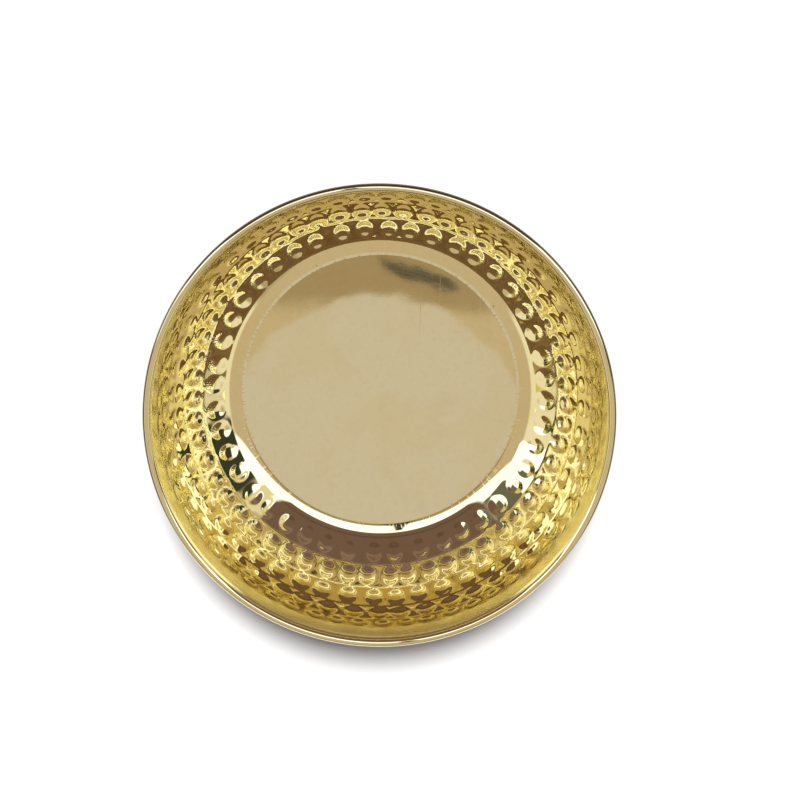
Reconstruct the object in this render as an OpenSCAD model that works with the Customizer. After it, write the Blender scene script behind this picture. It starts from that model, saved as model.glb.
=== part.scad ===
// Brass urli bowl: one round sheet of brass raised into a flat-floored bowl,
// with its top edge curled outward around a stiffening wire.
// The bowl stands on z = 0 with its axis on Z, and its origin is the centre of the base.

/* [Bowl] */
// Diameter over the curled rim
rim_d = 204; // [196:1:212]
// Height from the table to the top of the rim
bowl_h = 69.6; // [66:0.1:78]
// Diameter of the flat floor, inside
floor_d = 127; // [120:1:132]
// Thickness of the brass sheet
sheet_t = 1; // [0.8:0.1:1.4]

/* [Wall] */
// Radius of the bend between floor and wall, inside
bend_r = 13; // [8:0.5:16]
// Slope of the wall where the bend ends, in degrees from the floor
bend_slope = 29; // [26:1:32]
// Slope of the straight collar below the rim, in degrees from the floor
collar_slope = 86; // [83:1:88]

/* [Rim] */
// Diameter of the wire inside the curl
wire_d = 1.6; // [1.2:0.1:2.4]
// How far the sheet wraps around the wire, in degrees
curl_wrap = 280; // [250:1:280]

/* [Hidden] */
$fn = 360;

// A step of given length in the section, at an angle from the floor.
function step(len, angle) = len * [cos(angle), sin(angle)];

// How far two rounds of the section run into each other where they meet.
seat = 0.004;

// The curl around the wire: its radii, its centre in the section, the angle at
// which the collar runs into it and the angle at which the sheet ends.
wire_r = wire_d / 2;
curl_r = wire_r + sheet_t;
curl_centre = [rim_d / 2 - curl_r, bowl_h - curl_r];
curl_start = collar_slope + 90;
curl_end = curl_start - curl_wrap;

// The bend at the edge of the floor.
floor_r = floor_d / 2;
bend_centre = [floor_r, sheet_t + bend_r];
bend_end = bend_centre + step(bend_r, bend_slope - 90);

// The wall is one arc and one straight collar. The arc's radius and the collar's
// length follow from the width and height that the two have to span.
collar_top = curl_centre + step(curl_r - seat, curl_start);
span = collar_top - bend_end;
turn = [sin(collar_slope) - sin(bend_slope), cos(bend_slope) - cos(collar_slope)];
det = turn[0] * sin(collar_slope) - turn[1] * cos(collar_slope);
wall_r = (span[0] * sin(collar_slope) - span[1] * cos(collar_slope)) / det;
collar_len = (turn[0] * span[1] - turn[1] * span[0]) / det;
wall_centre = bend_end + step(wall_r, bend_slope + 90);

// How far a cutting shape runs past what it cuts.
past = 4;

// The section of all that lies inside the face at the given depth in the sheet:
// depth 0 is the inside of the bowl, and depth sheet_t is its outside. Its top
// edge is where the curl begins, raised by lift along the collar.
module space_within(depth, lift) {
  arc_middle = step(wall_r / 2, (bend_slope + collar_slope) / 2 - 90);
  arc_end = step(wall_r + depth - 2 * seat, collar_slope - 90);
  outward = step(depth, collar_slope - 90);
  top = collar_top + step(lift, collar_slope);
  polygon([
    [0, sheet_t - depth], [floor_r, sheet_t - depth], bend_centre, wall_centre + arc_middle,
    wall_centre + arc_end, top + outward, top, [0, top[1]]
  ]);
  translate(bend_centre)
    circle(bend_r + depth);
  translate(wall_centre + step(seat, bend_slope + 90))
    intersection() {
      circle(wall_r + depth);
      polygon([
        [0, 0], step(2 * wall_r, bend_slope - 90), step(2 * wall_r, collar_slope - 80)
      ]);
    }
}

// The gap between the collar and the tucked end of the curl: a narrow slice that
// starts just clear of the collar's outside and stops short of the collar below it.
module curl_gap() {
  slice_r = 1.04 * curl_r;
  slice_start = curl_start + acos(wire_r / curl_r) + 4;
  slice_end = curl_end + 360;
  polygon([
    curl_centre, curl_centre + step(slice_r, slice_start),
    curl_centre + step(slice_r, (slice_start + slice_end) / 2),
    curl_centre + step(slice_r, slice_end)
  ]);
}

// The whole section of the sheet, from the axis out to the end of the curl.
module sheet_section() {
  difference() {
    union() {
      difference() {
        space_within(sheet_t, 0);
        space_within(0, past);
      }
      translate(curl_centre)
        circle(curl_r);
    }
    translate(curl_centre)
      circle(wire_r);
    curl_gap();
  }
}

// The bowl itself: floor, wall, collar and curled edge in one sheet of brass.
module bowl_shell() {
  color("goldenrod")
    rotate_extrude()
      sheet_section();
}

// The hard wire ring that the edge is curled around.
module rim_wire() {
  color("darkgoldenrod")
    rotate_extrude()
      translate(curl_centre)
        circle(wire_r);
}

bowl_shell();
rim_wire();
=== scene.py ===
# %% [markdown]
# # A hammered brass bowl
#
# The object is one round sheet of brass: a flat floor, a round bend, a wall that
# a craftsman has struck all round with a ball-headed hammer, a smooth collar, and
# an edge that is curled outward around a hidden wire. This notebook builds it in
# three moves: a section drawn from a few sizes, a Geometry Nodes tree that turns
# the section into a bowl and strikes the hammer marks into it, and materials and
# lights that let polished brass look like polished brass.

# %% Load the measured bowl as a fixed frame
import math
import bpy
import bmesh
from mathutils import Matrix, Vector


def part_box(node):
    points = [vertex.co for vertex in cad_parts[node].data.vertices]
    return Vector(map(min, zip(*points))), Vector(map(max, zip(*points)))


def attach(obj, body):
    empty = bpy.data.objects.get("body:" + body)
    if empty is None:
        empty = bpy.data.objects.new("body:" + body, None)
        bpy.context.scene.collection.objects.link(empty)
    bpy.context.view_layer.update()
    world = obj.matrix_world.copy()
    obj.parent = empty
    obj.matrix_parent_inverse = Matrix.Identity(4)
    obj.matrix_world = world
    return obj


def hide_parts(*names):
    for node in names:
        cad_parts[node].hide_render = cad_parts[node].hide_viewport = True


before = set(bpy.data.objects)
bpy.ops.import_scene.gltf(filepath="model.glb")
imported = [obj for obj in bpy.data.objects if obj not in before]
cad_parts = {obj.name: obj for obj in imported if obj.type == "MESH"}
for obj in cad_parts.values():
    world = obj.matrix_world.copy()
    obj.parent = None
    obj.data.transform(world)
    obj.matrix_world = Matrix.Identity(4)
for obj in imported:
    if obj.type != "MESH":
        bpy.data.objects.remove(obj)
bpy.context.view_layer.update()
scene = bpy.context.scene

# %% [markdown]
# ## The sizes
#
# Everything that the measured model can tell is read from it: the width over the
# rim, the height, the thickness of the wire and of the sheet around it. The shape
# of the wall between the floor and the rim is described by one bend, one long arc
# and one straight collar, the same three strokes that the metal was raised with.

# %% Sizes from the frame
shell_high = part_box("bowl_shell")[1]
wire_low, wire_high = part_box("rim_wire")

RIM_RADIUS = shell_high[0]
HEIGHT = shell_high[2]
WIRE_RADIUS = (wire_high[2] - wire_low[2]) / 2
SHEET = RIM_RADIUS - wire_high[0]
CURL_RADIUS = WIRE_RADIUS + SHEET
CURL_CENTRE = Vector((RIM_RADIUS - CURL_RADIUS, HEIGHT - CURL_RADIUS))
print(f"sheet {SHEET * 1000:.2f} mm, wire {WIRE_RADIUS * 2000:.2f} mm, rim {RIM_RADIUS * 2000:.1f} mm")

# %% Sizes of the section
FLOOR_RADIUS = 0.0635
BEND_RADIUS = 0.013
BEND_SLOPE = math.radians(29)
COLLAR_SLOPE = math.radians(86)
CURL_WRAP = math.radians(280)


def step(length, angle):
    """A move of that length in the section, at an angle up from the floor."""
    return Vector((length * math.cos(angle), length * math.sin(angle)))


QUARTER = math.pi / 2
BEND_CENTRE = Vector((FLOOR_RADIUS, SHEET + BEND_RADIUS))
BEND_END = BEND_CENTRE + step(BEND_RADIUS, BEND_SLOPE - QUARTER)
COLLAR_TOP = CURL_CENTRE + step(CURL_RADIUS, COLLAR_SLOPE + QUARTER)

# %% [markdown]
# The long arc and the straight collar have to span what is left between the bend
# and the rim. Two lengths are unknown, and the width and the height give two
# equations, so they are solved for and not guessed.

# %% Solve for the wall's arc and the collar
span = COLLAR_TOP - BEND_END
turn = Vector((
    math.sin(COLLAR_SLOPE) - math.sin(BEND_SLOPE),
    math.cos(BEND_SLOPE) - math.cos(COLLAR_SLOPE),
))
det = turn.x * math.sin(COLLAR_SLOPE) - turn.y * math.cos(COLLAR_SLOPE)
WALL_RADIUS = (span.x * math.sin(COLLAR_SLOPE) - span.y * math.cos(COLLAR_SLOPE)) / det
COLLAR_LENGTH = (turn.x * span.y - turn.y * span.x) / det
WALL_CENTRE = BEND_END + step(WALL_RADIUS, BEND_SLOPE + QUARTER)
print(f"wall arc {WALL_RADIUS * 1000:.1f} mm, collar {COLLAR_LENGTH * 1000:.1f} mm")

# %% [markdown]
# ## The rows of hammer marks
#
# The marks run round the wall in five rows. Where the hammer has passed, the wall
# is no longer one even curve: each row has become a nearly flat band, and the
# bands meet at faint ridges. So each row says where it starts and ends along the
# sheet, how many blows it has, and how tall, wide and deep its marks are. The
# lowest row and the highest are struck more lightly, as there the metal is either
# backed by the bend or close to the stiff collar.

# %% Rows, from the floor up
# where the rows start and end, along the sheet from the edge of the floor
ROW_EDGES = [0.0080, 0.0212, 0.0336, 0.0457, 0.0577, 0.0690]
# how far the ridge at each of those places stands out of the even curve
EDGE_SHIFTS = [0.0, 0.00010, 0.00060, 0.00085, 0.00055, 0.0]
ROWS = [
    {"Count": 44, "Height": 0.0054, "Width": 0.0046, "Depth": 0.00040},
    {"Count": 55, "Height": 0.0054, "Width": 0.0045, "Depth": 0.00070},
    {"Count": 52, "Height": 0.0056, "Width": 0.0050, "Depth": 0.00072},
    {"Count": 53, "Height": 0.0053, "Width": 0.0047, "Depth": 0.00062},
    {"Count": 58, "Height": 0.0050, "Width": 0.0044, "Depth": 0.00052},
]
SCALLOP = 0.0006        # how far the edge between two rows is drawn in and out
SCALLOP_REACH = 0.0035  # how far that reaches to either side of the edge
for row_facts, row_start, row_end in zip(ROWS, ROW_EDGES, ROW_EDGES[1:]):
    row_facts["Place"] = (row_start + row_end) / 2
UNEVENNESS = 0.10       # how much one blow differs from the next
COLUMNS = 688           # steps round the bowl
print("hammer marks on the bowl:", sum(facts["Count"] for facts in ROWS))

# %% [markdown]
# ## The section
#
# The section is a closed line: along the inside from the axis up to the rim,
# around the curl, back down the outside and in under the base. Each point carries
# three facts that the tree needs later: how far it is along the sheet from the edge
# of the floor, the slope of the sheet there, and whether it is on the outer side,
# which has a finish of its own. The same hammer blow dents the inside and raises
# the outside, so both faces share the first two.

# %% Find a place on the sheet
BEND_LENGTH = BEND_RADIUS * BEND_SLOPE
ARC_LENGTH = WALL_RADIUS * (COLLAR_SLOPE - BEND_SLOPE)
SHEET_LENGTH = BEND_LENGTH + ARC_LENGTH + COLLAR_LENGTH


def place_on_sheet(distance):
    """Point and slope of the unstruck inside face, that far along from the edge of the floor."""
    if distance <= BEND_LENGTH:
        slope = distance / BEND_RADIUS
        return BEND_CENTRE + step(BEND_RADIUS, slope - QUARTER), slope
    if distance <= BEND_LENGTH + ARC_LENGTH:
        slope = BEND_SLOPE + (distance - BEND_LENGTH) / WALL_RADIUS
        return WALL_CENTRE + step(WALL_RADIUS, slope - QUARTER), slope
    left = distance - SHEET_LENGTH
    return COLLAR_TOP + step(left, COLLAR_SLOPE), COLLAR_SLOPE


print(f"sheet from the floor's edge to the curl: {SHEET_LENGTH * 1000:.1f} mm")

# %% Walk along the sheet, with one flat band for each row of marks
INSIDE_STEPS = (9, 13, 4)   # in the bend, in each row of marks and in the collar
OUTSIDE_STEPS = (5, 7, 2)


def row_edge_point(distance):
    """Where two bands meet: on the unstruck face, or pushed a little way out of it."""
    point, slope = place_on_sheet(distance)
    return point + step(EDGE_SHIFTS[ROW_EDGES.index(distance)], slope - QUARTER)


def sheet_stations(bend_steps, row_steps, collar_steps):
    """Stations from the edge of the floor to the curl: (point, slope, distance along)."""
    stations = []
    for i in range(bend_steps):
        distance = ROW_EDGES[0] * i / bend_steps
        stations.append((*place_on_sheet(distance), distance))
    for start, end in zip(ROW_EDGES, ROW_EDGES[1:]):
        foot, head = row_edge_point(start), row_edge_point(end)
        across = head - foot
        slope = math.atan2(across.y, across.x)
        for i in range(row_steps):
            part = (i + 0.5) / row_steps
            stations.append((foot.lerp(head, part), slope, start + (end - start) * part))
    for i in range(collar_steps + 1):
        distance = ROW_EDGES[-1] + (SHEET_LENGTH - ROW_EDGES[-1]) * i / collar_steps
        stations.append((*place_on_sheet(distance), distance))
    return stations


print("stations up the inside:", len(sheet_stations(*INSIDE_STEPS)))

# %% [markdown]
# The floor needs few rings, as it is flat, but the last one sits just inside its
# edge: smooth shading spreads the turn of the bend as far as the next ring, and a
# flat mirror must stay flat right up to where it bends. Points that no hammer
# reaches are marked as being off the wall.

# %% Draw the closed section
SECTION_FACTS = ("along", "slope", "outer")
OFF_WALL = -1.0
FLOOR_RINGS = (0.0, 0.022, 0.044, FLOOR_RADIUS - 0.0002)
CURL_STEPS = 14
WIRE_SIDE_STEPS = 5


def section_points():
    """Points of the section: (radius, height, distance along the sheet, slope, outer side)."""
    points = []
    for ring_radius in FLOOR_RINGS:
        points.append((ring_radius, SHEET, OFF_WALL, 0.0, 0.0))
    for point, slope, along in sheet_stations(*INSIDE_STEPS):
        points.append((point.x, point.y, along, slope, 0.0))
    curl_start = COLLAR_SLOPE + QUARTER
    for i in range(1, CURL_STEPS + 1):
        point = CURL_CENTRE + step(CURL_RADIUS, curl_start - CURL_WRAP * i / CURL_STEPS)
        points.append((point.x, point.y, OFF_WALL, 0.0, 0.0))
    for i in range(WIRE_SIDE_STEPS):
        angle = curl_start - CURL_WRAP * (1 - i / WIRE_SIDE_STEPS)
        point = CURL_CENTRE + step(WIRE_RADIUS, angle)
        points.append((point.x, point.y, OFF_WALL, 0.0, 0.0))
    for point, slope, along in reversed(sheet_stations(*OUTSIDE_STEPS)):
        outer = point + step(SHEET, slope - QUARTER)
        points.append((outer.x, outer.y, along, slope, 1.0))
    for i in (1, 0):
        points.append((FLOOR_RADIUS * i / 2, 0.0, OFF_WALL, 0.0, 1.0))
    return points


def make_section():
    """The section as a string of vertices that Geometry Nodes can read."""
    points = section_points()
    mesh = bpy.data.meshes.new("bowl_section")
    mesh.from_pydata([(point[0], 0, point[1]) for point in points], [], [])
    for place, name in enumerate(SECTION_FACTS, start=2):
        facts = mesh.attributes.new(name, "FLOAT", "POINT")
        facts.data.foreach_set("value", [point[place] for point in points])
    return bpy.data.objects.new("bowl_section", mesh), len(points)


section, section_count = make_section()
print("points in the section:", section_count)

# %% [markdown]
# ## Helpers for node trees
#
# Trees are easier to read when a formula looks like a formula. `Tree` wraps a
# node group so that each call adds one node and hands back its output.

# %% A small wrapper around a node tree


class Tree:
    """Adds nodes to a tree, one call for each."""

    def __init__(self, tree):
        self.tree = tree

    def feed(self, socket, value):
        """Links a socket to a value that is another output, or sets it."""
        if isinstance(value, bpy.types.NodeSocket):
            self.tree.links.new(value, socket)
        elif value is not None:
            socket.default_value = value

    def node(self, kind, settings=None, **inputs):
        """A node with its settings, and its inputs fed by name."""
        made = self.tree.nodes.new(kind)
        for key, value in (settings or {}).items():
            setattr(made, key, value)
        for key, value in inputs.items():
            self.feed(made.inputs[key.replace("_", " ")], value)
        return made

    def math(self, operation, *values):
        """A Math node on one, two or three numbers."""
        made = self.node("ShaderNodeMath", {"operation": operation})
        for socket, value in zip(made.inputs, values):
            self.feed(socket, value)
        return made.outputs[0]

    def add(self, a, b):
        return self.math("ADD", a, b)

    def sub(self, a, b):
        return self.math("SUBTRACT", a, b)

    def mul(self, a, b):
        return self.math("MULTIPLY", a, b)

    def div(self, a, b):
        return self.math("DIVIDE", a, b)

    def xyz(self, x, y, z):
        """A vector put together from three numbers."""
        made = self.node("ShaderNodeCombineXYZ")
        for socket, value in zip(made.inputs, (x, y, z)):
            self.feed(socket, value)
        return made.outputs[0]


def new_group(name, inputs, outputs):
    """A Geometry Nodes group with named inputs: (Tree, input node, output node)."""
    group = bpy.data.node_groups.new(name, "GeometryNodeTree")
    for label, kind, default in inputs:
        socket = group.interface.new_socket(label, in_out="INPUT", socket_type=kind)
        if default is not None:
            socket.default_value = default
    for label, kind in outputs:
        group.interface.new_socket(label, in_out="OUTPUT", socket_type=kind)
    tree = Tree(group)
    return tree, tree.node("NodeGroupInput"), tree.node("NodeGroupOutput")


print("node tree helpers ready")

# %% [markdown]
# ## One hammer mark
#
# A ball-headed hammer leaves a shallow round hollow with a soft edge, as the sheet
# around the blow bends along with it. Its depth at any point of the wall depends
# only on the distance from the middle of the blow, so it can be written as a
# formula: nearly flat in the middle, steepest three quarters of the way out, and
# level again at the edge. No two blows are the same, so each gets its own small
# shift, size and strength from a random value that is looked up by the number of
# the blow.

# %% The mark as a node group
FLOAT, INT = "NodeSocketFloat", "NodeSocketInt"
TAU = math.tau
FORCE_SPREAD = 1.5   # how much the depth of a blow varies, against its place
REACH_SPREAD = 0.7   # how much its width varies, against its place
BELL_POWER = 3       # a higher power makes the middle flatter and the side steeper


def hammer_mark_group():
    """Depth, at a point of the wall, of the blow that is `Neighbour` places away in its row."""
    tree, given, result = new_group(
        "Hammer mark",
        [
            ("Angle", FLOAT, 0.0), ("Along", FLOAT, 0.0), ("Girth", FLOAT, 0.09),
            ("Count", INT, 50), ("Place", FLOAT, 0.01), ("Height", FLOAT, 0.004),
            ("Width", FLOAT, 0.004), ("Depth", FLOAT, 0.0005), ("Neighbour", INT, 0),
            ("Seed", INT, 1), ("Unevenness", FLOAT, UNEVENNESS),
        ],
        [("Depth", FLOAT)],
    )
    g = given.outputs
    pitch = tree.div(TAU, g["Count"])
    cell = tree.add(tree.math("ROUND", tree.div(g["Angle"], pitch)), g["Neighbour"])
    blow = tree.math("FLOORED_MODULO", cell, g["Count"])

    def luck(seed_step, low, high):
        made = tree.node("FunctionNodeRandomValue", {"data_type": "FLOAT"})
        floats = [s for s in made.inputs if s.type == "VALUE"]
        tree.feed(floats[0], low)
        tree.feed(floats[1], high)
        tree.feed(made.inputs["ID"], blow)
        tree.feed(made.inputs["Seed"], tree.add(g["Seed"], seed_step))
        return [s for s in made.outputs if s.type == "VALUE"][0]

    wobble = tree.mul(luck(1, -1.0, 1.0), g["Unevenness"])
    drift = tree.mul(luck(2, -1.0, 1.0), g["Unevenness"])
    force = tree.add(1.0, tree.mul(luck(3, -1.0, 1.0), tree.mul(g["Unevenness"], FORCE_SPREAD)))
    reach = tree.add(1.0, tree.mul(luck(4, -1.0, 1.0), tree.mul(g["Unevenness"], REACH_SPREAD)))
    middle = tree.mul(tree.add(cell, wobble), pitch)
    across = tree.div(tree.mul(tree.sub(g["Angle"], middle), g["Girth"]), tree.mul(g["Width"], reach))
    up = tree.sub(tree.sub(g["Along"], g["Place"]), tree.mul(drift, g["Height"]))
    up = tree.div(up, tree.mul(g["Height"], reach))
    far = tree.add(tree.mul(across, across), tree.mul(up, up))
    bell = tree.math("MAXIMUM", tree.sub(1.0, tree.math("POWER", far, BELL_POWER / 2)), 0.0)
    bell = tree.mul(bell, bell)
    depth = tree.mul(tree.mul(g["Depth"], force), bell)
    tree.feed(result.inputs["Depth"], depth)
    return tree.tree


hammer_mark = hammer_mark_group()
print("nodes in one hammer mark:", len(hammer_mark.nodes))

# %% [markdown]
# ## The bowl's tree
#
# A grid with one column for each step round the bowl and one row for each point
# of the section is bent into shape: every vertex looks its radius and height up
# in the section, and is pushed out through the sheet by the hammer marks that
# reach it. Merging doubled points closes the seam and the two poles.

# %% Read the section inside the tree


def section_facts(tree, source, row):
    """Radius, height, distance along, slope and outer side, for each vertex of the grid."""

    def look_up(kind, value):
        sample = tree.node("GeometryNodeSampleIndex", {"data_type": kind, "domain": "POINT"})
        tree.feed(sample.inputs["Geometry"], source)
        tree.feed(sample.inputs["Value"], value)
        tree.feed(sample.inputs["Index"], row)
        return sample.outputs[0]

    def fact(name):
        named = tree.node("GeometryNodeInputNamedAttribute", {"data_type": "FLOAT"}, Name=name)
        return look_up("FLOAT", named.outputs[0])

    where = look_up("FLOAT_VECTOR", tree.node("GeometryNodeInputPosition").outputs[0])
    parts = tree.node("ShaderNodeSeparateXYZ", Vector=where)
    return parts.outputs["X"], parts.outputs["Z"], fact("along"), fact("slope"), fact("outer")


print("facts that the tree reads at each point: radius, height and", SECTION_FACTS)

# %% [markdown]
# A vertex is pushed by the nearest blow of each row and by the two beside it, as
# wide marks overlap a little. Where two rows meet, the ridge between them is not a
# clean circle either: each blow pulls it its own way, so it runs in scallops.

# %% Depth of the marks and scallops between the rows
SEED_STEP = 10


def dent_depth(tree, angle, along, radius, unevenness):
    """How deep all the hammer marks together push the sheet, at each vertex."""
    depth = 0.0
    for number, facts in enumerate(ROWS):
        for neighbour in (-1, 0, 1):
            mark = tree.node("GeometryNodeGroup", {"node_tree": hammer_mark})
            for label, value in facts.items():
                tree.feed(mark.inputs[label], value)
            tree.feed(mark.inputs["Angle"], angle)
            tree.feed(mark.inputs["Along"], along)
            tree.feed(mark.inputs["Girth"], radius)
            tree.feed(mark.inputs["Neighbour"], neighbour)
            tree.feed(mark.inputs["Seed"], SEED_STEP * number)
            tree.feed(mark.inputs["Unevenness"], unevenness)
            depth = tree.add(depth, mark.outputs[0])
    return depth


def scallop_shift(tree, angle, along, scallop):
    """How far the sheet moves along itself, so that the edges between rows run in scallops."""
    shift = 0.0
    for facts, edge in zip(ROWS, ROW_EDGES[1:]):
        away = tree.math("ABSOLUTE", tree.sub(along, edge))
        near = tree.math("MAXIMUM", tree.sub(1.0, tree.div(away, SCALLOP_REACH)), 0.0)
        wave = tree.math("COSINE", tree.mul(angle, facts["Count"]))
        shift = tree.add(shift, tree.mul(tree.mul(near, wave), scallop))
    return shift


print("marks that can reach one vertex:", 3 * len(ROWS))

# %% Build the tree
MERGE_DISTANCE = 1e-6


def bowl_group():
    """The whole bowl as a Geometry Nodes tree."""
    tree, given, result = new_group(
        "Raised bowl",
        [
            ("Section", "NodeSocketObject", None), ("Columns", INT, COLUMNS),
            ("Section points", INT, 100), ("Unevenness", FLOAT, UNEVENNESS),
            ("Scallop", FLOAT, SCALLOP), ("Brass", "NodeSocketMaterial", None),
        ],
        [("Geometry", "NodeSocketGeometry")],
    )
    g = given.outputs
    columns, points = g["Columns"], g["Section points"]
    grid = tree.node(
        "GeometryNodeMeshGrid", Size_X=1.0, Size_Y=1.0,
        Vertices_X=tree.add(columns, 1), Vertices_Y=points,
    )
    index = tree.node("GeometryNodeInputIndex").outputs[0]
    column = tree.math("FLOOR", tree.div(tree.add(index, 0.5), points))
    row = tree.sub(index, tree.mul(column, points))
    angle = tree.mul(tree.math("FLOORED_MODULO", column, columns), tree.div(TAU, columns))
    source = tree.node("GeometryNodeObjectInfo", Object=g["Section"]).outputs["Geometry"]
    radius, height, along, slope, outer = section_facts(tree, source, row)
    depth = dent_depth(tree, angle, along, radius, g["Unevenness"])
    shift = scallop_shift(tree, angle, along, g["Scallop"])

    rise, run = tree.math("SINE", slope), tree.math("COSINE", slope)
    radius = tree.add(tree.add(radius, tree.mul(shift, run)), tree.mul(depth, rise))
    height = tree.sub(tree.add(height, tree.mul(shift, rise)), tree.mul(depth, run))
    place = tree.xyz(
        tree.mul(radius, tree.math("COSINE", angle)),
        tree.mul(radius, tree.math("SINE", angle)), height,
    )
    shaped = tree.node("GeometryNodeSetPosition", Geometry=grid.outputs["Mesh"], Position=place)
    marked = tree.node(
        "GeometryNodeStoreNamedAttribute", {"data_type": "FLOAT", "domain": "POINT"},
        Geometry=shaped.outputs[0], Name="outer", Value=outer)
    closed = tree.node(
        "GeometryNodeMergeByDistance", Geometry=marked.outputs[0], Distance=MERGE_DISTANCE)
    smooth = tree.node("GeometryNodeSetShadeSmooth", Geometry=closed.outputs[0])
    real = tree.node("GeometryNodeRealizeInstances", Geometry=smooth.outputs[0])
    brass = tree.node("GeometryNodeSetMaterial", Geometry=real.outputs[0], Material=g["Brass"])
    tree.feed(result.inputs["Geometry"], brass.outputs[0])
    return tree.tree


bowl_tree = bowl_group()
print("nodes in the bowl's tree:", len(bowl_tree.nodes))

# %% [markdown]
# ## Brass
#
# Polished brass is a pale greenish gold that shows the room in it. What makes it
# real is the wear: soft patches of fingerprints and tarnish, fine lines from the
# polishing wheel that run round the bowl, a few stray scratches, a ring of short
# tool ticks where the floor turns up into the bend, and the odd dark speck. All of
# it is computed from the place on the bowl, so it has no seams and no limit of
# resolution. The first helpers give names to that place.

# %% Helpers for materials


def place_on_bowl(tree):
    """Object position, distance from the axis, height, and a point on a unit ring."""
    position = tree.node("ShaderNodeTexCoord").outputs["Object"]
    parts = tree.node("ShaderNodeSeparateXYZ", Vector=position)
    x, y, z = parts.outputs
    flat = tree.xyz(x, y, 0.0)
    radius = tree.node("ShaderNodeVectorMath", {"operation": "LENGTH"}, Vector=flat).outputs["Value"]
    ring = tree.node("ShaderNodeVectorMath", {"operation": "NORMALIZE"}, Vector=flat).outputs["Vector"]
    return position, radius, z, ring


def ring_vector(tree, ring, around, radius, z, along):
    """Coordinates that change `around` times as fast round the bowl, and `along` times along it."""
    parts = tree.node("ShaderNodeSeparateXYZ", Vector=ring)
    return tree.xyz(
        tree.mul(parts.outputs["X"], around), tree.mul(parts.outputs["Y"], around),
        tree.mul(tree.add(radius, z), along),
    )


def noise(tree, vector, scale, detail=2.0, roughness=0.5):
    """One noise value for each place."""
    made = tree.node("ShaderNodeTexNoise", Vector=vector, Scale=scale, Detail=detail, Roughness=roughness)
    return made.outputs[0]


def ramp(tree, value, low, high, to_low=0.0, to_high=1.0):
    """Maps low..high to to_low..to_high with soft ends."""
    made = tree.node("ShaderNodeMapRange", {"interpolation_type": "SMOOTHSTEP"})
    tree.feed(made.inputs["Value"], value)
    for label, number in (("From Min", low), ("From Max", high), ("To Min", to_low), ("To Max", to_high)):
        made.inputs[label].default_value = number
    return made.outputs[0]


def tint(tree, factor, colour, below):
    """Lays a colour over another by a factor."""
    mix = tree.node("ShaderNodeMix", {"data_type": "RGBA"})
    first, second = [socket for socket in mix.inputs if socket.type == "RGBA"]
    tree.feed(mix.inputs[0], factor)
    tree.feed(first, below)
    tree.feed(second, (*colour, 1.0))
    return [socket for socket in mix.outputs if socket.type == "RGBA"][0]


print("material helpers ready")

# %% Long straight scratches
SCRATCHES_PER_METRE = 14.0   # along their length, so one is some 70 mm long
SCRATCH_SOFTNESS = 0.8


def scratches(tree, position, turn, spacing, share):
    """Sparse long straight scratches in one direction: 0 for none, 1 for the middle of one."""
    turned = tree.node("ShaderNodeMapping", Vector=position)
    turned.inputs["Rotation"].default_value = (0.0, 0.0, turn)
    turned.inputs["Scale"].default_value = (1.0 / spacing, SCRATCHES_PER_METRE, SCRATCHES_PER_METRE)
    pattern = noise(tree, turned.outputs[0], 1.0, 1.0)
    return ramp(tree, pattern, 1.0 - share, 1.0 - share * SCRATCH_SOFTNESS)


print(f"a scratch is about {1000 / SCRATCHES_PER_METRE:.0f} mm long")

# %% [markdown]
# ## The sheet
#
# One sheet, but it was not finished alike everywhere. The floor was flattened and
# wiped, so it carries long scratches and smudges; the struck wall keeps the bright
# skin that the hammer's polished face gave it; the collar was spun against a
# cloth; the outside was only brushed, and is warmer and duller.

# %% Colours of the sheet
BRASS_PALE = (0.905, 0.830, 0.500)
BRASS_WARM = (0.895, 0.795, 0.450)
BRASS_DULL = (0.780, 0.690, 0.420)
BRASS_OUTER = (0.74, 0.585, 0.29)
SPECK = (0.22, 0.16, 0.09)
PAINTED_EDGE_SHADE = (0.10, 0.070, 0.040)
print("pale brass:", BRASS_PALE, "dull brass:", BRASS_DULL)

# %% [markdown]
# Colour, gloss and relief have to agree: a smudge is both duller in colour and
# softer in its reflection. So the patterns of wear are made once, each as a value
# from 0 to 1, and all three are mixed from them. Sizes are given as how often a
# pattern repeats in a metre, or as a distance in metres.

# %% Sizes and places of the wear
CLOUDS_PER_METRE = 26.0
SMUDGES_PER_METRE = 48.0
WAVES_PER_METRE = 55.0
SPECK_CELLS_PER_METRE = 95.0
MOTTLE_PER_METRE = 420.0
POLISH_LINES_PER_METRE = 2600.0
FLOOR_FADE = (0.0670, 0.0640)       # radii over which the wear of the floor fades out
FLOOR_TOP = (0.0030, 0.0018)        # heights over which it does
TICK_INNER = (0.0632, 0.0640)       # radii over which the tool ticks fade in
TICK_OUTER = (0.0672, 0.0660)       # and out again
TICK_TOP = (0.004, 0.003)
SPUN_FROM = (0.043, 0.055)          # heights over which the smooth collar takes over
CURL_LEFT_BRIGHT = (RIM_RADIUS - 0.0029, RIM_RADIUS - 0.0035)
# painted shade: the outer top of the curl is darkened to stand for a dark reflection line, fading toward
# the near side
EDGE_SHADE_RADII = (RIM_RADIUS - 0.00115, RIM_RADIUS - 0.00065)
EDGE_SHADE_SIDE = (-0.075, -0.035)     # the painted dark reflection on the edge fades toward the near side
EDGE_SHADE_HEIGHTS = (HEIGHT - 0.0019, HEIGHT - 0.0015)
print("collar softened from", SPUN_FROM[0] * 1000, "mm up")

# %% Patterns of wear


def scratched_floor(tree, position, radius, z):
    """Two crossing sets of scratches, on the floor only."""
    on_floor = tree.mul(ramp(tree, radius, *FLOOR_FADE), ramp(tree, z, *FLOOR_TOP))
    both = tree.math(
        "MAXIMUM", scratches(tree, position, 0.7, 0.0011, 0.30),
        scratches(tree, position, -0.35, 0.0016, 0.28),
    )
    return tree.mul(both, on_floor)


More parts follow.
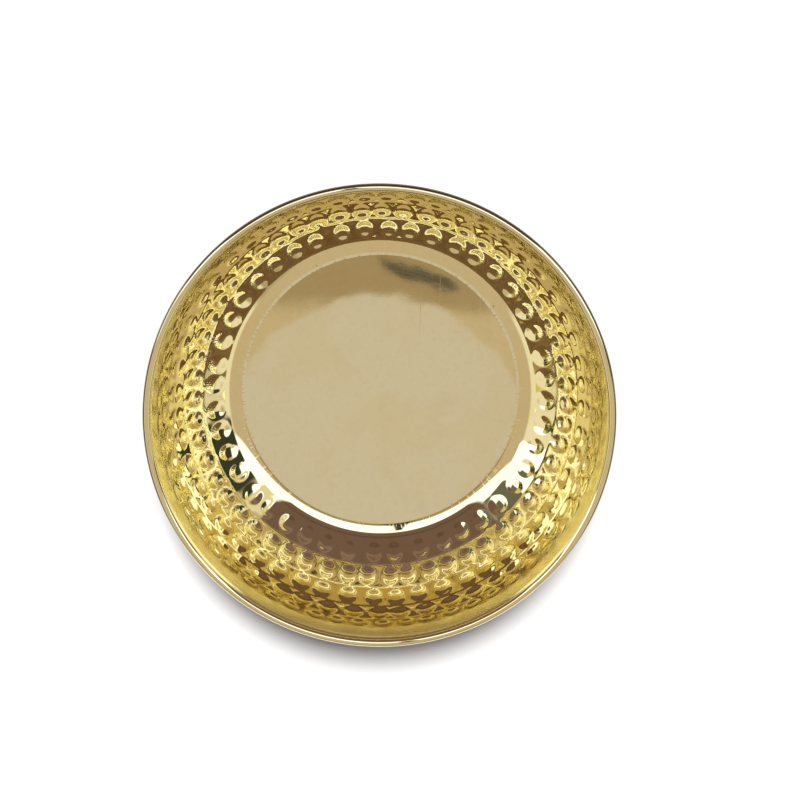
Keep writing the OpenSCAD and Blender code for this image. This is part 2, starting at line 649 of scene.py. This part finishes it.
def tool_ticks(tree, ring, radius, z):
    """Short ticks in a ring where the floor turns up into the bend."""
    pattern = noise(tree, ring_vector(tree, ring, 75.0, radius, z, 90.0), 1.0, 1.0)
    band = tree.mul(ramp(tree, radius, *TICK_INNER), ramp(tree, radius, *TICK_OUTER))
    ticks = tree.mul(ramp(tree, pattern, 0.56, 0.66), band)
    return tree.mul(ticks, ramp(tree, z, *TICK_TOP))


def dark_specks(tree, position):
    """A round speck in about one cell out of four."""
    cells = tree.node("ShaderNodeTexVoronoi", Vector=position, Scale=SPECK_CELLS_PER_METRE)
    rare = tree.node("ShaderNodeSeparateColor", Color=cells.outputs["Color"])
    spot = ramp(tree, cells.outputs["Distance"], 0.045, 0.025)
    return tree.mul(spot, ramp(tree, rare.outputs[0], 0.70, 0.74))


def wear_patterns(tree):
    """All patterns of wear by name, and the painted dark reflection on the edge of the curl."""
    position, radius, z, ring = place_on_bowl(tree)
    y = tree.node("ShaderNodeSeparateXYZ", Vector=position).outputs["Y"]
    # painted shade: mask for the dark reflection line painted on the outer top of the curl
    edge = tree.mul(ramp(tree, radius, *EDGE_SHADE_RADII), ramp(tree, z, *EDGE_SHADE_HEIGHTS))
    return {
        "clouds": noise(tree, position, CLOUDS_PER_METRE, 4.0, 0.6),
        "mottle": noise(tree, position, MOTTLE_PER_METRE, 3.0, 0.6),
        "waves": noise(tree, position, WAVES_PER_METRE, 1.0),
        "polish": noise(tree, ring_vector(tree, ring, 2.5, radius, z, POLISH_LINES_PER_METRE), 1.0),
        "streaks": noise(tree, ring_vector(tree, ring, 60.0, radius, z, 40.0), 1.0, 3.0),
        "smudge": ramp(tree, noise(tree, position, SMUDGES_PER_METRE, 5.0, 0.65), 0.55, 0.72),
        "specks": dark_specks(tree, position),
        "scratches": scratched_floor(tree, position, radius, z),
        "ticks": tool_ticks(tree, ring, radius, z),
        "spun": tree.mul(ramp(tree, z, *SPUN_FROM), ramp(tree, radius, *CURL_LEFT_BRIGHT)),
        "tarnish_and_painted_edge_shade": tree.mul(edge, ramp(tree, y, *EDGE_SHADE_SIDE, 0.0, 0.93)),
        "outer": tree.node("ShaderNodeAttribute", {"attribute_name": "outer"}).outputs["Fac"],
    }


print("kinds of wear are made by name, when a material asks for them")

# %% [markdown]
# Each of the three is now a short recipe. The gloss starts from a nearly perfect
# mirror, because that is what a hammer's face leaves, and everything that was done
# to the sheet later takes a little of it away. The relief is in metres, so its
# numbers are tiny: a wave of a few hundredths of a millimetre is enough to bend
# the edge of a reflection.

# %% Colour, gloss and relief of the sheet
MIRROR = 0.024
DULLED_BY = {
    "smudge": 0.012, "spun": 0.13, "outer": 0.14, "scratches": 0.05, "ticks": 0.16, "specks": 0.35,
}
RELIEF = {
    "waves": 0.000022, "mottle": 0.0000012, "polish": 0.0000002, "streaks": 0.0000005,
    "scratches": -0.0000025, "ticks": -0.000012,
}


def sheet_colour(tree, wear):
    """Pale brass in clouds, dulled in small patches, with specks, an unpolished outer face and a painted
    dark reflection on the edge of the curl.
    """
    colour = tint(tree, ramp(tree, wear["clouds"], 0.42, 0.66), BRASS_WARM, (*BRASS_PALE, 1.0))
    colour = tint(tree, ramp(tree, wear["mottle"], 0.45, 0.80, 0.0, 0.30), BRASS_DULL, colour)
    colour = tint(tree, tree.mul(wear["smudge"], 0.22), BRASS_DULL, colour)
    unpolished = tree.mul(wear["outer"], ramp(tree, wear["clouds"], 0.30, 0.70, 0.55, 0.95))
    colour = tint(tree, unpolished, BRASS_OUTER, colour)
    colour = tint(tree, tree.mul(wear["specks"], 0.8), SPECK, colour)
    # painted shade: a near-black line laid on the outer top of the curl stands for a dark reflection
    return tint(tree, wear["tarnish_and_painted_edge_shade"], PAINTED_EDGE_SHADE, colour)


def sheet_roughness(tree, wear):
    """A mirror, less what each kind of wear takes from it."""
    rough = tree.add(MIRROR, ramp(tree, wear["polish"], 0.40, 0.75, 0.0, 0.010))
    for name, amount in DULLED_BY.items():
        rough = tree.add(rough, tree.mul(wear[name], amount))
    return rough


def relief_normal(tree, height):
    """The normal of a surface with that relief, in metres."""
    bump = tree.node("ShaderNodeBump", Height=height)
    bump.inputs["Strength"].default_value = 1.0
    bump.inputs["Distance"].default_value = 1.0
    return bump.outputs[0]


def sheet_normal(tree, wear):
    """All the small relief that is too fine for the mesh."""
    relief = 0.0
    for name, amount in RELIEF.items():
        relief = tree.add(relief, tree.mul(wear[name], amount))
    return relief_normal(tree, relief)


print(f"highest relief: {max(RELIEF.values()) * 1000:.3f} mm")

# %% Sheet brass


def metal_material(name):
    """A new metal: the material, its tree and its shader."""
    material = bpy.data.materials.new(name)
    material.use_nodes = True
    shader = material.node_tree.nodes["Principled BSDF"]
    shader.inputs["Metallic"].default_value = 1.0
    return material, Tree(material.node_tree), shader


def sheet_material():
    """Hammered and polished sheet brass."""
    material, tree, shader = metal_material("sheet_brass")
    wear = wear_patterns(tree)
    tree.feed(shader.inputs["Base Color"], sheet_colour(tree, wear))
    tree.feed(shader.inputs["Roughness"], sheet_roughness(tree, wear))
    tree.feed(shader.inputs["Normal"], sheet_normal(tree, wear))
    return material


sheet_brass = sheet_material()
print("nodes in sheet_brass:", len(sheet_brass.node_tree.nodes))

# %% [markdown]
# ## The wire
#
# The ring inside the curl is hard-drawn wire. It is left as it comes from the
# drawing plate: darker, duller, and lined along its length.

# %% Wire brass
WIRE_COLOUR = (0.80, 0.62, 0.30)
WIRE_DARK = (0.52, 0.38, 0.17)
WIRE_TARNISH_PER_METRE = 90.0
DRAWN_LINES_PER_METRE = 9000.0
DRAWN_RELIEF = 0.000006


def wire_material():
    """Drawn, unpolished brass wire."""
    material, tree, shader = metal_material("wire_brass")
    position, radius, z, ring = place_on_bowl(tree)
    drawn = noise(tree, ring_vector(tree, ring, 6.0, radius, z, DRAWN_LINES_PER_METRE), 1.0)
    tarnish_and_painted_edge_shade = noise(tree, position, WIRE_TARNISH_PER_METRE, 4.0, 0.6)
    colour = tint(tree, ramp(tree, tarnish_and_painted_edge_shade, 0.40, 0.70), WIRE_DARK, (*WIRE_COLOUR, 1.0))
    tree.feed(shader.inputs["Base Color"], colour)
    tree.feed(shader.inputs["Roughness"], ramp(tree, tarnish_and_painted_edge_shade, 0.30, 0.70, 0.25, 0.45))
    tree.feed(shader.inputs["Normal"], relief_normal(tree, tree.mul(drawn, DRAWN_RELIEF)))
    return material


wire_brass = wire_material()
print("nodes in wire_brass:", len(wire_brass.node_tree.nodes))

# %% [markdown]
# ## Building the bowl
#
# The tree is run once and its result kept as a plain mesh, so that nothing in the
# finished model depends on a modifier. The volume is measured afterwards: it has
# to be the volume of the sheet, with every face looking outward.

# %% Run the tree and keep its result as a plain mesh


def settle(name, tree, inputs):
    """Runs a Geometry Nodes tree once and returns its result as a plain mesh object."""
    host = bpy.data.objects.new(name, bpy.data.meshes.new(name))
    scene.collection.objects.link(host)
    modifier = host.modifiers.new("shape", "NODES")
    modifier.node_group = tree
    sockets = {s.name: s.identifier for s in tree.interface.items_tree if s.in_out == "INPUT"}
    for label, value in inputs.items():
        modifier[sockets[label]] = value
    evaluated = host.evaluated_get(bpy.context.evaluated_depsgraph_get())
    mesh = bpy.data.meshes.new_from_object(evaluated)
    host.modifiers.clear()
    host.data = mesh
    mesh.name = name
    return host


scene.collection.objects.link(section)
bowl = settle("hammered_bowl", bowl_tree, {
    "Section": section, "Columns": COLUMNS, "Section points": section_count,
    "Unevenness": UNEVENNESS, "Scallop": SCALLOP, "Brass": sheet_brass,
})
bpy.data.objects.remove(section)
print("vertices of the bowl:", len(bowl.data.vertices))

# %% [markdown]
# A closed sheet encloses a volume. If it comes out negative, the faces look inward
# and are turned round, and an edge with fewer or more than two faces would be a
# leak. Both are measured and not taken for granted.

# %% Check that the bowl is closed and faces outward
shape = bmesh.new()
shape.from_mesh(bowl.data)
if shape.calc_volume(signed=True) < 0:
    bmesh.ops.reverse_faces(shape, faces=shape.faces)
print("open edges:", sum(1 for edge in shape.edges if not edge.is_manifold))
print(f"volume: {shape.calc_volume() * 1e6:.1f} ml of brass")
shape.to_mesh(bowl.data)
shape.free()
bowl.data.shade_smooth()
triangles = sum(len(face.vertices) - 2 for face in bowl.data.polygons)
print("faces:", len(bowl.data.polygons), "triangles:", triangles)

# %% [markdown]
# The struck sheet now takes the place of the smooth one. The wire keeps its
# measured shape, since a drawn wire is as plain as that, and only gets its metal.

# %% Put the pieces in place
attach(bowl, "root")
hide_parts("bowl_shell")
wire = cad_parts["rim_wire"]
wire.data.materials.clear()
wire.data.materials.append(wire_brass)
print("pieces:", bowl.name, "and", wire.name)

# %% [markdown]
# ## The camera
#
# The bowl is looked into from almost straight above, about eight rim radii away,
# leaning a little toward the far side so that more of the near wall shows. A long
# lens keeps the rim close to a true circle. The camera's three axes are worked out
# first, then turned a little about the line of sight.

# %% Place the camera
CAMERA_DISTANCE = 0.8016
CAMERA_TILT = math.radians(12.31)
CAMERA_ROLL = math.radians(2.45)
SENSOR_WIDTH = 36
LENS = 83.8
LENS_SHIFT = (0.026, 0.0264)
aim = Vector((0, 0, CURL_CENTRE.y))
back = Vector((0, math.sin(CAMERA_TILT), math.cos(CAMERA_TILT)))
level_right = Vector((1, 0, 0))
level_up = back.cross(level_right)
right = level_right * math.cos(CAMERA_ROLL) + level_up * math.sin(CAMERA_ROLL)
up = level_up * math.cos(CAMERA_ROLL) - level_right * math.sin(CAMERA_ROLL)
camera_data = bpy.data.cameras.new("camera")
camera_data.sensor_width = SENSOR_WIDTH
camera_data.lens = LENS
camera_data.shift_x, camera_data.shift_y = LENS_SHIFT
camera = bpy.data.objects.new("camera", camera_data)
turned = Matrix((right, up, back)).transposed().to_4x4()
camera.matrix_world = Matrix.Translation(aim + back * CAMERA_DISTANCE) @ turned
scene.collection.objects.link(camera)
scene.camera = camera
print("the camera stands at:", [round(v, 4) for v in camera.matrix_world.translation])

# %% [markdown]
# ## The studio
#
# The bowl stands on a plain matt sheet. The sheet itself is a middle grey: it is
# the light that makes it come out white, and that leaves room for a shadow which
# is clearly darker than the sheet around it.

# %% Floor
FLOOR_HALF = 3.0
FLOOR_GREY = (0.30, 0.30, 0.30, 1)
FLOOR_ROUGHNESS = 0.8


def make_floor():
    """A plain flat floor at the height of the bowl's base."""
    mesh = bpy.data.meshes.new("studio_floor")
    corners = [(-1, -1), (1, -1), (1, 1), (-1, 1)]
    mesh.from_pydata([(x * FLOOR_HALF, y * FLOOR_HALF, 0) for x, y in corners], [], [(0, 1, 2, 3)])
    floor = bpy.data.objects.new("studio_floor", mesh)
    scene.collection.objects.link(floor)
    material = bpy.data.materials.new("floor_grey")
    material.use_nodes = True
    shader = material.node_tree.nodes["Principled BSDF"]
    shader.inputs["Base Color"].default_value = FLOOR_GREY
    shader.inputs["Roughness"].default_value = FLOOR_ROUGHNESS
    mesh.materials.append(material)
    return floor


floor = make_floor()
scene.view_settings.view_transform = "Standard"
print("floor:", FLOOR_HALF * 2, "metres each way")

# %% [markdown]
# A bright metal has almost no look of its own: what is seen in it is the room. So
# the light is a whole room, painted on the sky as soft cards. A white tent on the
# far side lights the near wall, a dark doorway in it gives the brown reflections
# their dark, and low dark cards stand for the skirting of the room. Each card is
# described by where it stands around the bowl and how far it leans from straight
# up, and they are laid over each other in the order of the list.

# %% World of soft cards
WHITE = (1.45, 1.55, 1.90)
BEIGE = (0.60, 0.49, 0.38)
PALE = (0.64, 0.58, 0.57)
BROWN = (0.180, 0.112, 0.098)
DOOR_SHADOW = (0.135, 0.080, 0.068)
DOOR_RAIL = (0.265, 0.178, 0.160)
SHADED_WALL = (0.44, 0.37, 0.26)
SKIRTING = (0.11, 0.09, 0.065)
LIGHT_WALL = (0.92, 0.86, 0.74)
GREY = (0.16, 0.16, 0.14)
STRIPE = (0.85, 0.78, 0.62)
SMUDGE = (0.09, 0.09, 0.08)
BLACK = (0.045, 0.050, 0.035)
TAN = (0.40, 0.30, 0.20)

# name, middle azimuth (0 is +X, 90 is +Y), half width, least and greatest tilt from
# straight up, softness, all in degrees, and colour
WALL_CARDS = [
    ("skirting", 0, 181, 72, 100, 3, SKIRTING),
    ("shaded wall", 336, 36, 62, 100, 7, SHADED_WALL),
    ("right side wall", 345, 29, 57, 70, 4, LIGHT_WALL),
    ("left side wall", 195, 29, 55, 72, 4, LIGHT_WALL),
    ("white tent", 87, 80, -10, 61, 2.0, WHITE),
    ("dark doorway", 92.5, 51.5, 30, 120, 1.5, BROWN),
    ("door shadow", 92.5, 50, 44, 49, 2.5, DOOR_SHADOW),
    ("door rail", 92.5, 50, 64, 69, 2.5, DOOR_RAIL),
    ("far wall", 92.5, 60, 80, 120, 3, BLACK),
    ("grey panel", 150.5, 6.5, 58, 120, 1.0, GREY),
    ("black flag", 14, 14, 60, 120, 1.5, BLACK),
    ("pale stripe", 34.5, 3.5, 50, 120, 1.0, STRIPE),
    ("window", 166.5, 9.5, 48, 120, 1.0, WHITE),
]
# name, place of the middle in degrees from straight up along X and Y, half widths,
# lean, softness, colour
TOP_CARDS = [
    ("tan strip", 0, -5.2, 9.0, 3.6, 0.0, 0.3, TAN),
    ("camera arm", -3.4, 8.0, 0.80, 14.0, -0.177, 0.25, BLACK),
]
# the pale round reflector that fills the floor, and a short dark streak beside it
DISC_MIDDLE = -13.2
DISC_RADIUS = 4.75
DISC_SOFTNESS = 0.12
STREAK_MIDDLE = (1.05, -7.80)
STREAK_HALF = (1.15, 0.17)
STREAK_SLOPE = 0.30
STREAK_SOFTNESS = (0.25, 0.05)
print("cards:", ", ".join(card[0] for card in WALL_CARDS + TOP_CARDS))

# %% [markdown]
# A mask is 1 inside its card, 0 outside it and soft at the edge. Cards around the
# bowl are measured as an azimuth and a tilt, and those overhead in two angles from
# straight up, because an azimuth means nothing there.

# %% Masks for the cards


def outside(tree, value, edge, soft):
    """0 below the edge, 1 above it, and a soft step between."""
    return ramp(tree, value, edge - soft, edge + soft)


def inside(tree, value, edge, soft):
    """1 below the edge and 0 above it."""
    return tree.sub(1.0, outside(tree, value, edge, soft))


def size_of(tree, value):
    """The value without its sign."""
    return tree.math("ABSOLUTE", value)


def wall_card_mask(tree, direction, tilt, azimuth, half, low, high, soft):
    """A card that stands around the bowl."""
    turned = tree.node("ShaderNodeVectorRotate", {"rotation_type": "Z_AXIS"}, Vector=direction)
    turned.inputs["Angle"].default_value = -math.radians(azimuth)
    local = tree.node("ShaderNodeSeparateXYZ", Vector=turned.outputs[0]).outputs
    off = tree.math("DEGREES", size_of(tree, tree.math("ARCTAN2", local["Y"], local["X"])))
    mask = tree.mul(inside(tree, off, half, soft), outside(tree, tilt, low, soft))
    return tree.mul(mask, inside(tree, tilt, high, soft))


def top_card_mask(tree, across, onward, middle_x, middle_y, half_x, half_y, lean, soft):
    """A card that hangs overhead."""
    off_y = tree.sub(onward, middle_y)
    off_x = tree.sub(tree.sub(across, middle_x), tree.mul(off_y, lean))
    return tree.mul(
        inside(tree, size_of(tree, off_x), half_x, soft),
        inside(tree, size_of(tree, off_y), half_y, soft))


def disc_mask(tree, across, onward):
    """The pale round reflector."""
    away = tree.sub(onward, DISC_MIDDLE)
    from_middle = tree.math("SQRT", tree.add(
        tree.math("POWER", across, 2), tree.math("POWER", away, 2)))
    return inside(tree, from_middle, DISC_RADIUS, DISC_SOFTNESS)


def streak_mask(tree, across, onward):
    """A short streak that slopes down as it goes to the right."""
    middle_x, middle_y = STREAK_MIDDLE
    off_x = tree.sub(across, middle_x)
    off_y = tree.add(tree.sub(onward, middle_y), tree.mul(off_x, STREAK_SLOPE))
    half_x, half_y = STREAK_HALF
    soft_x, soft_y = STREAK_SOFTNESS
    return tree.mul(
        inside(tree, size_of(tree, off_x), half_x, soft_x),
        inside(tree, size_of(tree, off_y), half_y, soft_y))


print("narrowest wall card:", min(card[2] for card in WALL_CARDS) * 2, "degrees round")

# %% [markdown]
# Painting the sky is then a short loop. The direction in which the sky is looked at
# is turned into a tilt for the wall cards, and into two angles for the top ones.

# %% Paint the sky


def studio_room():
    """The room as a painted sky: one even colour, with the cards laid over it in turn."""
    world = bpy.data.worlds.new("studio_room")
    world.use_nodes = True
    tree = Tree(world.node_tree)
    direction = tree.node("ShaderNodeTexCoord").outputs["Generated"]
    x, y, z = tree.node("ShaderNodeSeparateXYZ", Vector=direction).outputs
    tilt = tree.math("DEGREES", tree.math("ARCCOSINE", z))
    across = tree.math("DEGREES", tree.math("ARCTAN2", x, z))
    onward = tree.math("DEGREES", tree.math("ARCTAN2", y, z))

    colour = (*BEIGE, 1)
    for name, *shape_facts, paint in WALL_CARDS:
        colour = tint(tree, wall_card_mask(tree, direction, tilt, *shape_facts), paint, colour)
    for name, *shape_facts, paint in TOP_CARDS:
        colour = tint(tree, top_card_mask(tree, across, onward, *shape_facts), paint, colour)
    colour = tint(tree, disc_mask(tree, across, onward), PALE, colour)
    colour = tint(tree, streak_mask(tree, across, onward), SMUDGE, colour)
    tree.feed(world.node_tree.nodes["Background"].inputs["Color"], colour)
    return world


scene.world = studio_room()
print("nodes in the sky:", len(scene.world.node_tree.nodes))

# %% [markdown]
# The shadow comes from one soft, far light behind the bowl, so that it falls toward
# the viewer and shows just below the near rim. It is kept out of the metal's
# reflections, where the cards already do the work.

# %% Light for the shadow
SUN_STRENGTH = 10.5
SUN_SIZE = math.radians(11)
SUN_LEAN = math.radians(-25)
sun_data = bpy.data.lights.new("shadow_light", "SUN")
sun_data.energy = SUN_STRENGTH
sun_data.angle = SUN_SIZE
sun = bpy.data.objects.new("shadow_light", sun_data)
sun.rotation_euler = (SUN_LEAN, 0, 0)
sun.visible_glossy = False
scene.collection.objects.link(sun)
print(f"shadow light leans {math.degrees(-SUN_LEAN):.0f} degrees")
